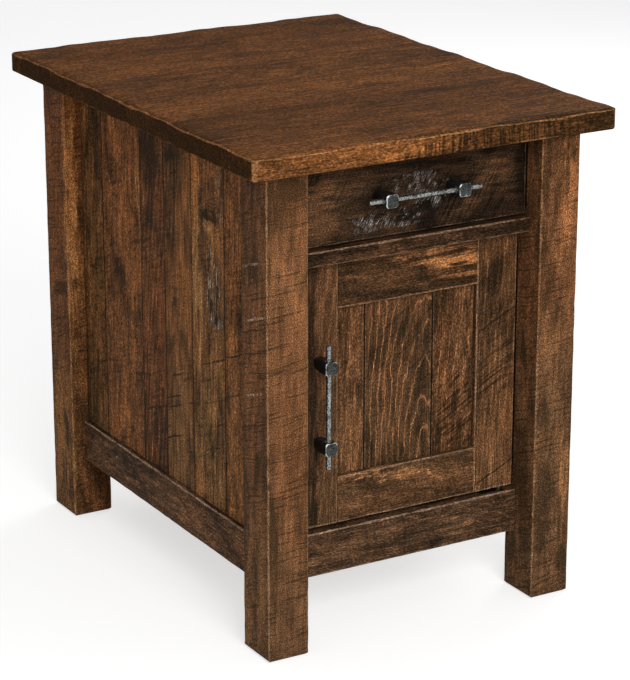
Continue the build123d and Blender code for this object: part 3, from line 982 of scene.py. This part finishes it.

# Painted shade on the right leg in the narrow gaps beside the door and the drawer front
gap_shade_width = 2 * MM
gap_shade_strength = 0.95
painted_gap_shade_marks = ()
for neighbour in ("door_hinge_stile", "drawer_front"):
    low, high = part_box(neighbour)
    middle = (low.z + high.z) / 2
    painted_gap_shade = ("painted_gap_shade", low.y + gap_shade_width, middle, gap_shade_width, (high.z - low.z) / 2, gap_shade_strength)
    painted_gap_shade_marks += side_marks(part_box("leg_front_right")[0].x, gap_shade_width, painted_gap_shade)
looks["leg_front_right"].update(tone=-0.09, slope=(-0.18, 0.35), wear=0.45, marks=front_marks(
    leg_front, 0.02,
    ("honey", 0.202, 0.53, 0.014, 0.09, 0.4),
    ("honey", 0.209, 0.16, 0.01, 0.06, 0.5),
    ("dark", 0.206, 0.577, 0.012, 0.02, 1.0),
    ("dark", 0.209, 0.045, 0.014, 0.022, 1.0),
    ("dark", 0.178, 0.14, 0.018, 0.06, 0.6),
    ("dark", 0.18, 0.55, 0.03, 0.08, 0.6),
) + side_marks(
    right_leg_inside, 0.003,
    ("dark", -0.275, 0.36, 0.06, 0.4, 0.3),
) + painted_gap_shade_marks)
looks["leg_back_left"].update(cast=(0.99, 0.93, 0.84), tone=-0.06, marks=front_marks(
    back_leg_inside, 0.012,
    # Partly painted light: the tan strip brightens this narrow face that the lamps leave in shade, over the
    # leg's own tan streaks
    ("tan", -0.211, 0.46, 0.013, 0.24, 0.9),
    ("dark", -0.198, 0.42, 0.01, 0.06, 0.8),
    ("dark", -0.2, 0.18, 0.03, 0.12, 0.5),
) + side_marks(
    leg_left, 0.01,
    ("tan", 0.27, 0.09, 0.06, 0.15, 0.4),
))

for side, grain in (("front", "x"), ("back", "x"), ("left", "y"), ("right", "y")):
    looks[f"{side}_bottom_rail"] = dict(grain=grain, stain="rail", contrast=1.1, lines=0.35, wobble=0.06)
    looks[f"{side}_top_rail"] = dict(inside_wood, grain=grain)
looks["drawer_divider_rail"] = dict(grain="x", stain="rail", contrast=1.1, tone=-0.28, wear=0.6)
looks["drawer_divider_rail"]["marks"] = front_marks(
    divider_front, 0.03,
    ("amber", -0.075, 0.49, 0.06, 0.03, 0.5),
    ("dark", -0.029, 0.49, 0.0014, 0.05, 1.6),
    ("tan", -0.11, 0.501, 0.06, 0.003, 0.9),
)

plank_wood = dict(
    grain="z", stain="plank", contrast=1.1, streaks=0.7, fleck=(400.0, 850.0), grit=550.0, saw=0.7,
    stroke=(110.0, 26.0, 0.55, 0.66), slope=(0.1, 0.4), wear=0.0, seam=1.2 * MM,
)
plank_mark_depth = 0.03
plank_tints = (
    (0.09, (1.0, 1.0, 1.0)),
    (0.18, (0.98, 1.0, 1.0)),
    (0.05, (0.97, 1.0, 1.02)),
    (-0.09, (1.0, 0.97, 1.0)),
    (0.04, (1.0, 0.98, 0.98)),
    (-0.02, (0.96, 1.0, 1.0)),
)
for number, (tone, cast) in enumerate(plank_tints, 1):
    for side in ("left", "right"):
        looks[f"{side}_side_plank_{number}"] = dict(plank_wood, cast=cast, tone=tone, marks=())
left_plank_marks = (
    (1, "dark", -0.21, 0.52, 0.03, 0.05, 0.2),
    (1, "tan", -0.195, 0.51, 0.0025, 0.09, 0.5),
    (1, "tan", -0.2, 0.22, 0.07, 0.15, 0.2),
    (2, "knot", -0.118, 0.51, 0.024, 0.009, 0.6),
    (2, "dark", -0.12, 0.51, 0.026, 0.008, 0.9),
    (2, "tan", -0.112, 0.494, 0.02, 0.01, 0.6),
    (2, "split", -0.126, 0.43, 0.026, 0.055, 0.8),
    (2, "split", -0.134, 0.386, 0.024, 0.018, 0.8),
    (2, "split", -0.146, 0.545, 0.014, 0.05, 0.6),
    (2, "tan", -0.08, 0.4, 0.022, 0.12, 0.8),
    (2, "amber", -0.078, 0.54, 0.02, 0.1, 0.9),
    (2, "tan", -0.12, 0.22, 0.06, 0.13, 0.35),
    (3, "dark", -0.025, 0.555, 0.03, 0.06, 0.6),
    (4, "dark", 0.038, 0.552, 0.024, 0.06, 0.6),
    (5, "tan", 0.072, 0.53, 0.012, 0.12, 0.8),
    (5, "dark", 0.11, 0.27, 0.012, 0.1, 0.5),
    (5, "amber", 0.1, 0.43, 0.05, 0.1, 0.5),
)
for number, *row in left_plank_marks:
    looks[f"left_side_plank_{number}"]["marks"] += side_marks(plank_left, plank_mark_depth, row)
looks["left_side_plank_4"].update(lines=0.35, pith=(0.0, 0.03), tilt=0.16, spacing=0.010)

# Lines of a wide saw blade across the side planks: plank, middle in Y and Z, and half length
plank_kerfs = (
    (1, -0.177, 0.35, 0.024), (1, -0.175, 0.299, 0.024), (2, -0.131, 0.33, 0.04),
    (2, -0.125, 0.276, 0.045), (2, -0.139, 0.249, 0.034), (2, -0.125, 0.214, 0.022),
    (2, -0.11, 0.3, 0.026), (3, -0.07, 0.258, 0.016), (3, -0.02, 0.251, 0.026),
    (3, -0.02, 0.237, 0.026), (3, -0.028, 0.283, 0.024), (3, -0.017, 0.196, 0.026),
    (4, 0.035, 0.219, 0.032),
)
plank_kerf_reach = 0.05
plank_kerf_strength = 1.2
right_kerf_lift = 0.11
for side, face, lift in (("left", plank_left, 0.0), ("right", -plank_left, right_kerf_lift)):
    for number, y, z, half_length in plank_kerfs:
        kerf = ("kerf", y, z + lift, half_length, plank_kerf_reach, plank_kerf_strength)
        looks[f"{side}_side_plank_{number}"]["marks"] += side_marks(face, plank_mark_depth, kerf)

looks["back_panel"] = dict(grain="z", stain="plank", lines=0.3)
looks["cabinet_floor"] = dict(inside_wood, grain="x")
looks["shelf"] = dict(inside_wood, grain="x")
looks["tabletop"] = dict(
    grain="x", stain="top", contrast=0.9, rings=0.12, streaks=0.35, blotch=0.7, fleck=(260.0, 520.0),
    grit=120.0, saw=0.1, slope=(0.0, 0.0), wear=0.65, sheen=0.005, hewn=True,
    joints=((-0.225, -0.07), (-0.127, 0.10), (-0.010, -0.09), (0.105, 0.08), (0.215, -0.07)),
)
looks["tabletop"]["marks"] = side_marks(
    top_left, 0.006,
    ("dark", 0.0, top_level, 0.5, 0.06, 0.6),
) + front_marks(
    top_front, 0.012,
    ("amber", -0.14, top_level, 0.16, 0.06, 0.65),
    ("dark", 0.14, top_level, 0.15, 0.06, 0.7),
    ("sawn", 0.11, top_level, 0.17, 0.06, 1.3),
)

looks["drawer_front"] = dict(
    grain="x", stain="drawer", contrast=1.2, fleck=(420.0, 700.0), saw=0.6, slope=(0.0, -0.58),
)
looks["drawer_front"]["marks"] = front_marks(
    drawer_face, 0.03,
    ("amber", -0.13, 0.535, 0.03, 0.05, 0.9),
    ("amber", -0.096, 0.572, 0.05, 0.03, 0.7),
    ("amber", -0.025, 0.509, 0.04, 0.012, 1.4),
    ("amber", -0.003, 0.534, 0.014, 0.01, 1.0),
    ("amber", 0.06, 0.518, 0.04, 0.025, 1.1),
    ("amber", 0.112, 0.546, 0.05, 0.04, 0.9),
    # Painted shade: a dark band along the upper edge, where the top shades the drawer front
    ("dark", 0.02, 0.59, 0.13, 0.022, 0.7),
    ("dark", 0.0, 0.55, 0.11, 0.04, 0.7),
    ("dark", 0.158, 0.56, 0.02, 0.06, 0.7),
    ("sawn", 0.085, 0.535, 0.07, 0.05, 0.8),
) + front_marks(
    drawer_face, 0.05,
    ("torn", -0.055, 0.522, 0.04, 0.018, 0.9),
    ("torn", 0.001, 0.563, 0.048, 0.018, 0.6),
    ("torn", 0.024, 0.538, 0.03, 0.011, 1.0),
    ("torn", -0.012, 0.522, 0.032, 0.014, 0.8),
)
drawer_boards = {"box_front": "x", "box_back": "x", "side_left": "y", "side_right": "y", "bottom": "x"}
for board, grain in drawer_boards.items():
    looks[f"drawer_{board}"] = dict(inside_wood, grain=grain, saw=0.0, wear=0.2)
for side in ("left", "right"):
    looks[f"slide_support_{side}"] = dict(inside_wood, grain="y")

door_wood = dict(stain="door", streaks=0.3, fleck=(420.0, 850.0), slope=(-0.7, 0.0), wear=0.5)
for board, grain in (("pull_stile", "z"), ("hinge_stile", "z"), ("top_rail", "x"), ("bottom_rail", "x")):
    looks[f"door_{board}"] = dict(door_wood, grain=grain)
looks["door_top_rail"].update(slope=(0.0, 0.3), tone=-0.12, marks=front_marks(
    door_face, 0.03,
    ("honey", 0.03, 0.464, 0.11, 0.012, 1.0),
    ("honey", 0.08, 0.449, 0.055, 0.012, 1.0),
    ("honey", 0.09, 0.435, 0.04, 0.008, 0.9),
))
looks["door_bottom_rail"].update(
    slope=(0.0, 0.3), tone=-0.09, lines=0.6, wobble=0.09, spacing=0.040, blotch=0.8,
)
looks["door_pull_stile"].update(tone=-0.07, lines=0.2, spacing=0.006, marks=front_marks(
    door_face, 0.03,
    # Painted shadow: a dark band where the front left leg shades the recessed door's pull stile
    ("dark", -0.138, 0.31, 0.018, 0.4, 1.3),
))
looks["door_hinge_stile"].update(lines=0.3, spacing=0.006, slope=(-0.45, 0.0), marks=front_marks(
    door_face, 0.03,
    ("sawn", 0.13, 0.3, 0.05, 0.06, 0.7),
    ("kerf", 0.132, 0.366, 0.036, 0.05, 1.2),
    ("kerf", 0.147, 0.329, 0.014, 0.05, 1.2),
    ("kerf", 0.129, 0.293, 0.027, 0.05, 1.3),
    ("kerf", 0.128, 0.282, 0.024, 0.05, 1.3),
    ("kerf", 0.131, 0.164, 0.04, 0.05, 1.3),
    ("dark", 0.128, 0.43, 0.06, 0.1, 0.25),
))
panel_wood = dict(
    grain="z", stain="door", lines=0.3, streaks=0.3, fleck=(380.0, 850.0), grit=370.0, saw=0.5,
    slope=(-0.6, 0.0), wear=0.4, seam=1.6 * MM,
)
panel_tones = (0.06, -0.10, -0.02)
for number, tone in enumerate(panel_tones, 1):
    looks[f"door_panel_plank_{number}"] = dict(panel_wood, tone=tone)
looks["door_panel_plank_2"].update(pith=(0.036, 0.030), tilt=0.18, spacing=0.0085, wobble=0.024, lines=0.75)
looks["door_panel_plank_3"].update(marks=front_marks(
    panel_face, 0.03,
    ("sawn", 0.085, 0.25, 0.06, 0.06, 1.0),
    ("dark", 0.058, 0.41, 0.03, 0.06, 0.5),
    ("dark", 0.095, 0.17, 0.03, 0.04, 0.6),
))

# Tongues on the planks' far edges, by axis, which the boards' faces don't reach over
tongues = {"_side_plank_": (1, 7 * MM), "_panel_plank_": (0, 5 * MM)}
last_planks = ("left_side_plank_6", "right_side_plank_6", "door_panel_plank_3")

# How deep the arrises are worn, by parts of the boards' names
worn_boards = {
    "leg_": 0.5 * MM,
    "_bottom_rail": 0.5 * MM,
    "divider": 0.5 * MM,
    "drawer_front": 0.5 * MM,
    "_stile": 0.35 * MM,
    "door_top_rail": 0.35 * MM,
}
for seed, (name, look) in enumerate(looks.items(), 1):
    low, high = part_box(name)
    for part, (axis, length) in tongues.items():
        if part in name and name not in last_planks:
            high[axis] -= length
    depths = [depth for part, depth in worn_boards.items() if part in name]
    piece = nodes[name]
    if name == "tabletop":
        piece = make_hewn_top(name)
    elif depths:
        piece = make_worn_board(name, look["grain"], depths[0], seed)
    dress(piece, wood(f"wood_{name}", low, high, seed=seed, **look))

# Pulls, screws and the fittings inside
post_iron = hammered_iron("post_iron", srgb(26, 28, 27), srgb(74, 78, 75), 0.40)
# The bars' iron is a lighter copy of the posts' iron: its lighter speckle paints in the bars' highlights
# and reflections
bar_iron_painted_highlights = hammered_iron("bar_iron_painted_highlights", srgb(46, 48, 48), srgb(164, 166, 164), 0.22)
zinc = plated_steel("zinc_plate", "y", srgb(150, 152, 156), srgb(214, 216, 220))
bronze = plated_steel("bronze_plate", "x", srgb(46, 38, 30), srgb(92, 78, 62))
brown_plastic = moulded_plastic("brown_plastic", srgb(62, 44, 32), srgb(86, 62, 46))
for owner in ("drawer", "door"):
    dress(make_hammered(f"{owner}_pull_bar", bar_ridge), bar_iron_painted_highlights)
    dress(make_hammered(f"{owner}_pull_posts", post_ridge), post_iron)
for owner, backing in (("drawer", "drawer_box_front"), ("door", "door_pull_stile")):
    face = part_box(backing)[1].y
    low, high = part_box(f"{owner}_pull_posts")
    post = min(high.x - low.x, high.z - low.z) / 2
    inset = Vector((post, 0, post))
    for number, corner in enumerate((low + inset, high - inset), 1):
        place = Vector((corner.x, face, corner.z))
        dress(add_screw(f"{owner}_pull_screw_{number}", place, owner), zinc)
fittings = {"shelf_clips": zinc, "catch_strike": zinc, "door_catch": brown_plastic}
for owner in ("case", "door"):
    fittings[f"hinge_{owner}_leaves"] = bronze
for member in ("case", "middle", "drawer"):
    for side in ("left", "right"):
        fittings[f"slide_{member}_member_{side}"] = zinc
for name, material in fittings.items():
    dress(nodes[name], material)

# Floor, light, and the camera as fitted to the photograph
floor_half_size = 20.0
floor_color = (0.55, 0.55, 0.55, 1.0)
floor_roughness = 0.9
floor_sheen = 0.1
floor_glow = 0.6
ambient_light = 0.45
softboxes = {
    "key_light": ((-0.7, -2.9, 1.8), 1.6, 78.0),
    "left_light": ((-2.6, -0.7, 1.1), 0.7, 1.5),
    "side_light": ((2.4, 1.4, 1.7), 1.4, 26.0),
}
camera_azimuth = math.radians(-30.22)
camera_elevation = math.radians(18.43)
camera_place = (-1.648, -2.866, 1.389)
camera_lens = 141.98
camera_sensor = 36.0


def make_floor():
    """A pale floor that shows white to the camera and keeps the table's shadow."""
    mesh = bpy.data.meshes.new("floor")
    turns = ((-1, -1), (1, -1), (1, 1), (-1, 1))
    corners = [(x * floor_half_size, y * floor_half_size, 0) for x, y in turns]
    mesh.from_pydata(corners, [], [(0, 1, 2, 3)])
    floor = add_object("floor", mesh)
    tree = Surface("pale_floor")
    tree.fill(tree.shader, **{
        "Base Color": floor_color,
        "Roughness": floor_roughness,
        "Specular IOR Level": floor_sheen,
        "Emission Color": WHITE,
        "Emission Strength": tree.times(tree.seen(), floor_glow),
    })
    dress(floor, tree.material)


def make_world():
    """White to the camera and in reflections, soft ambient light for the rest."""
    world = bpy.data.worlds.new("studio")
    bpy.context.scene.world = world
    tree = Tree(world)
    background = tree.tree.nodes["Background"]
    strength = tree.math("MULTIPLY_ADD", tree.seen(), 1.0 - ambient_light, ambient_light)
    tree.fill(background, Color=WHITE, Strength=strength)


def aim(thing, place, direction):
    """Put a light or the camera in a place, looking in a direction."""
    thing.location = place
    thing.rotation_mode = "QUATERNION"
    thing.rotation_quaternion = direction.to_track_quat("-Z", "Y")


def add_softbox(name, place, size, power):
    """A square soft light aimed at the middle of the table."""
    light = bpy.data.lights.new(name, "AREA")
    light.size = size
    light.energy = power
    aim(add_object(name, light), place, (cad_low + cad_high) / 2 - Vector(place))


def make_camera():
    """The photograph's viewpoint."""
    back = Vector((
        math.sin(camera_azimuth) * math.cos(camera_elevation),
        -math.cos(camera_azimuth) * math.cos(camera_elevation),
        math.sin(camera_elevation),
    ))
    data = bpy.data.cameras.new("camera")
    data.lens = camera_lens
    data.sensor_width = camera_sensor
    camera = add_object("camera", data)
    aim(camera, camera_place, -back)
    bpy.context.scene.camera = camera


make_floor()
make_world()
for name, settings in softboxes.items():
    add_softbox(name, *settings)
make_camera()
bpy.context.scene.view_settings.view_transform = "Standard"
